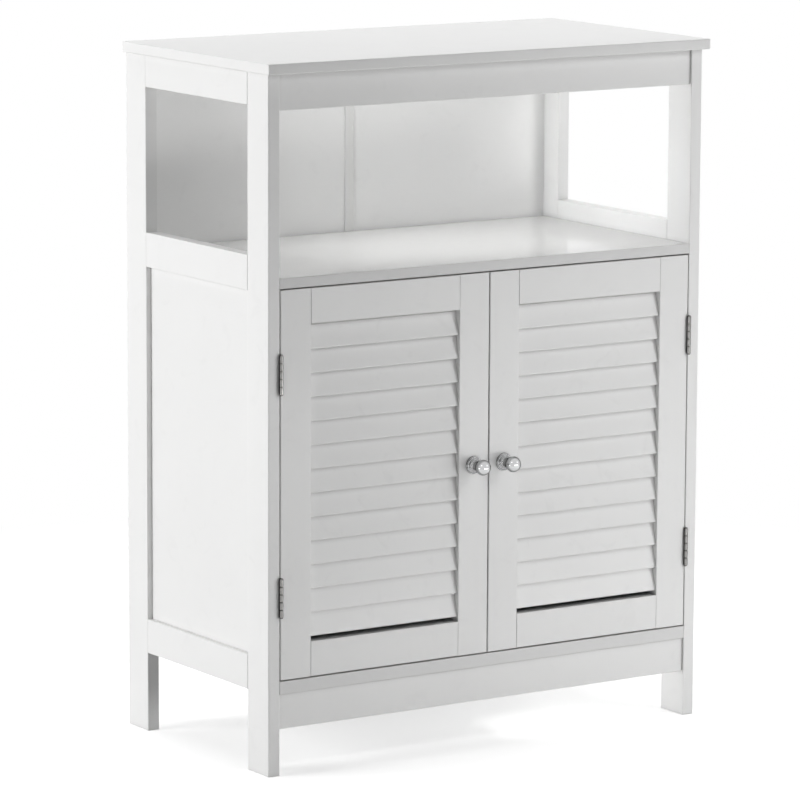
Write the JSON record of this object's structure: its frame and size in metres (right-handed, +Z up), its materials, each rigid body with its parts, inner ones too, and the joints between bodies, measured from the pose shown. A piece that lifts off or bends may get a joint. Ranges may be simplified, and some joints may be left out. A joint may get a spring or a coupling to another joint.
{
  "type": "louvred door cabinet",
  "caption": "White freestanding cabinet: open upper bay with side windows and a back, above a shelved cupboard closed by louvred doors on butt hinges, with round metal knobs.",
  "frame": {"origin": "on the floor, in the middle of the footprint: halfway across the width, and halfway between the front of the knobs and the back of the legs", "axes": "+X to the right seen from the front, +Y towards the back, +Z up"},
  "size_m": [0.6, 0.3378, 0.8],
  "materials": {
    "white_paint": "satin white paint on fibreboard",
    "panel_paint": "satin white foil on thin fibreboard panel",
    "white_plastic": "plain white moulded plastic",
    "nickel": "nickel plated pressed steel",
    "chrome": "polished chrome"
  },
  "bodies": {
    "cabinet": {"top_panel": "white_paint", "leg_front_left": "white_paint", "leg_front_right": "white_paint", "leg_rear_left": "white_paint", "leg_rear_right": "white_paint", "side_top_rail_left": "white_paint", "side_top_rail_right": "white_paint", "side_middle_rail_left": "white_paint", "side_middle_rail_right": "white_paint", "side_bottom_rail_left": "white_paint", "side_bottom_rail_right": "white_paint", "side_panel_left": "panel_paint", "side_panel_right": "panel_paint", "front_top_rail": "white_paint", "front_bottom_rail": "white_paint", "open_shelf": "white_paint", "bottom_board": "white_paint", "inner_shelf": "white_paint", "back_panel_left": "panel_paint", "back_panel_right": "panel_paint", "back_panel_joiner": "white_plastic", "magnetic_catch": "white_plastic", "hinge_upper_left_leg_leaf": "nickel", "hinge_lower_left_leg_leaf": "nickel", "hinge_upper_right_leg_leaf": "nickel", "hinge_lower_right_leg_leaf": "nickel"},
    "left_door": {"left_door_frame": "white_paint", "left_knob": "chrome", "hinge_upper_left_door_leaf": "nickel", "hinge_lower_left_door_leaf": "nickel", "left_louvre_01": "white_paint", "left_louvre_02": "white_paint", "left_louvre_03": "white_paint", "left_louvre_04": "white_paint", "left_louvre_05": "white_paint", "left_louvre_06": "white_paint", "left_louvre_07": "white_paint", "left_louvre_08": "white_paint", "left_louvre_09": "white_paint", "left_louvre_10": "white_paint", "left_louvre_11": "white_paint", "left_louvre_12": "white_paint", "left_louvre_13": "white_paint"},
    "right_door": {"right_door_frame": "white_paint", "right_knob": "chrome", "hinge_upper_right_door_leaf": "nickel", "hinge_lower_right_door_leaf": "nickel", "right_louvre_01": "white_paint", "right_louvre_02": "white_paint", "right_louvre_03": "white_paint", "right_louvre_04": "white_paint", "right_louvre_05": "white_paint", "right_louvre_06": "white_paint", "right_louvre_07": "white_paint", "right_louvre_08": "white_paint", "right_louvre_09": "white_paint", "right_louvre_10": "white_paint", "right_louvre_11": "white_paint", "right_louvre_12": "white_paint", "right_louvre_13": "white_paint"}
  },
  "joints": [
    {"name": "left_door_hinge", "type": "hinge", "parent": "cabinet", "child": "left_door", "pos_m": [-0.27945, -0.1437, 0.32875], "axis": [0, 0, -1], "range_deg": [0, 170]},
    {"name": "right_door_hinge", "type": "hinge", "parent": "cabinet", "child": "right_door", "pos_m": [0.27945, -0.1437, 0.32875], "axis": [0, 0, 1], "range_deg": [0, 170]}
  ]
}
